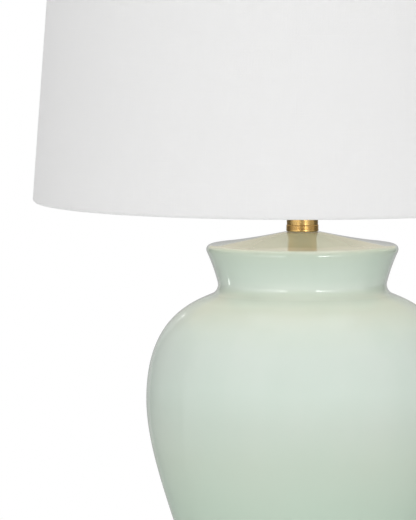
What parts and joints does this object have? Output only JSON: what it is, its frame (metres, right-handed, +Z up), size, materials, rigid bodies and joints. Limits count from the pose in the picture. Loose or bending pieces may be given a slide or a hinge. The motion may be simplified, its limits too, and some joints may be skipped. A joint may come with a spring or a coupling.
{
  "type": "ginger jar table lamp",
  "caption": "Table lamp with a glazed ginger jar body, a closed conical top, a short brass neck, a harp and a tapered drum shade held by a ball finial.",
  "frame": {"origin": "on the table, under the jar's axis", "axes": "+Z up the lamp's axis; the harp lies in XZ; the switch key points to -Y, the front; the cord outlet and the shade's seam are at +Y, the back"},
  "size_m": [0.4064, 0.4064, 0.655],
  "materials": {
    "celadon_glaze": "glossy pale celadon glaze",
    "felt": "green-grey felt",
    "bushing_plastic": "matt black nylon",
    "gasket_rubber": "black rubber",
    "neck_rubber": "black rubber",
    "plain_steel": "bright zinc",
    "zinc_steel": "zinc-plated, threaded",
    "aged_brass": "aged brass, turned and brushed",
    "harp_brass": "brass-plated steel",
    "socket_brass": "spun brass-plated shell",
    "terminal_brass": "bright brass",
    "key_brass": "brass-finished key",
    "spider_brass": "brass-plated steel wire",
    "finial_brass": "aged brass",
    "ring_steel": "white-coated wire",
    "insulating_card": "grey-brown fibre card",
    "phenolic_black": "moulded black phenolic",
    "screw_shell_aluminium": "rolled aluminium",
    "bulb_aluminium": "rolled aluminium",
    "bulb_insulation": "dark vitreous insulator",
    "solder": "dull solder",
    "bulb_glass": "soft white frosted glass",
    "shade_linen": "white plain-weave linen",
    "shade_lining": "white styrene lining"
  },
  "bodies": {
    "base": {"felt_pad": "felt", "jar_body": "celadon_glaze", "cord_bushing": "bushing_plastic", "bottom_gasket": "gasket_rubber", "bottom_washer": "plain_steel", "bottom_nut": "plain_steel", "lamp_pipe": "zinc_steel", "neck_gasket": "neck_rubber", "neck_collar": "aged_brass", "neck_tube": "aged_brass", "neck_cap": "aged_brass", "top_nut": "harp_brass", "harp_saddle": "harp_brass", "socket_cap": "socket_brass", "cap_set_screw": "plain_steel", "socket_shell": "socket_brass", "paper_sleeve": "insulating_card", "socket_core": "phenolic_black", "terminal_screws": "terminal_brass", "screw_shell": "screw_shell_aluminium", "centre_contact": "terminal_brass"},
    "switch": {"switch_shaft": "terminal_brass", "switch_key": "key_brass"},
    "bulb": {"bulb_globe": "bulb_glass", "bulb_cap": "bulb_aluminium", "bulb_insulator": "bulb_insulation", "bulb_tip": "solder"},
    "harp": {"harp_bow": "harp_brass", "harp_stud": "harp_brass"},
    "sleeve_left": {"harp_sleeve_left": "harp_brass"},
    "sleeve_right": {"harp_sleeve_right": "harp_brass"},
    "shade": {"shade_fabric": "shade_linen", "shade_liner": "shade_lining", "shade_seam": "shade_linen", "spider": "spider_brass", "bottom_ring": "ring_steel"},
    "finial": {"finial_base": "finial_brass", "finial_ball": "finial_brass"}
  },
  "joints": [
    {"name": "switch_turn", "type": "hinge", "parent": "base", "child": "switch", "pos_m": [0, -0.031, 0.4172], "axis": [0, 1, 0], "continuous": true},
    {"name": "bulb_turn", "type": "hinge", "parent": "base", "child": "bulb", "pos_m": [0, 0, 0.43015], "axis": [0, 0, 1], "continuous": true},
    {"name": "harp_lift", "type": "slide", "parent": "base", "child": "harp", "axis": [0, 0, 1], "range_m": [0, 0.03]},
    {"name": "sleeve_left_lift", "type": "slide", "parent": "harp", "child": "sleeve_left", "axis": [0, 0, 1], "range_m": [0, 0.014]},
    {"name": "sleeve_right_lift", "type": "slide", "parent": "harp", "child": "sleeve_right", "axis": [0, 0, 1], "range_m": [0, 0.014]},
    {"name": "shade_turn", "type": "hinge", "parent": "harp", "child": "shade", "pos_m": [0, 0, 0.6192], "axis": [0, 0, 1], "continuous": true},
    {"name": "finial_turn", "type": "hinge", "parent": "harp", "child": "finial", "pos_m": [0, 0, 0.62115], "axis": [0, 0, 1], "continuous": true}
  ]
}
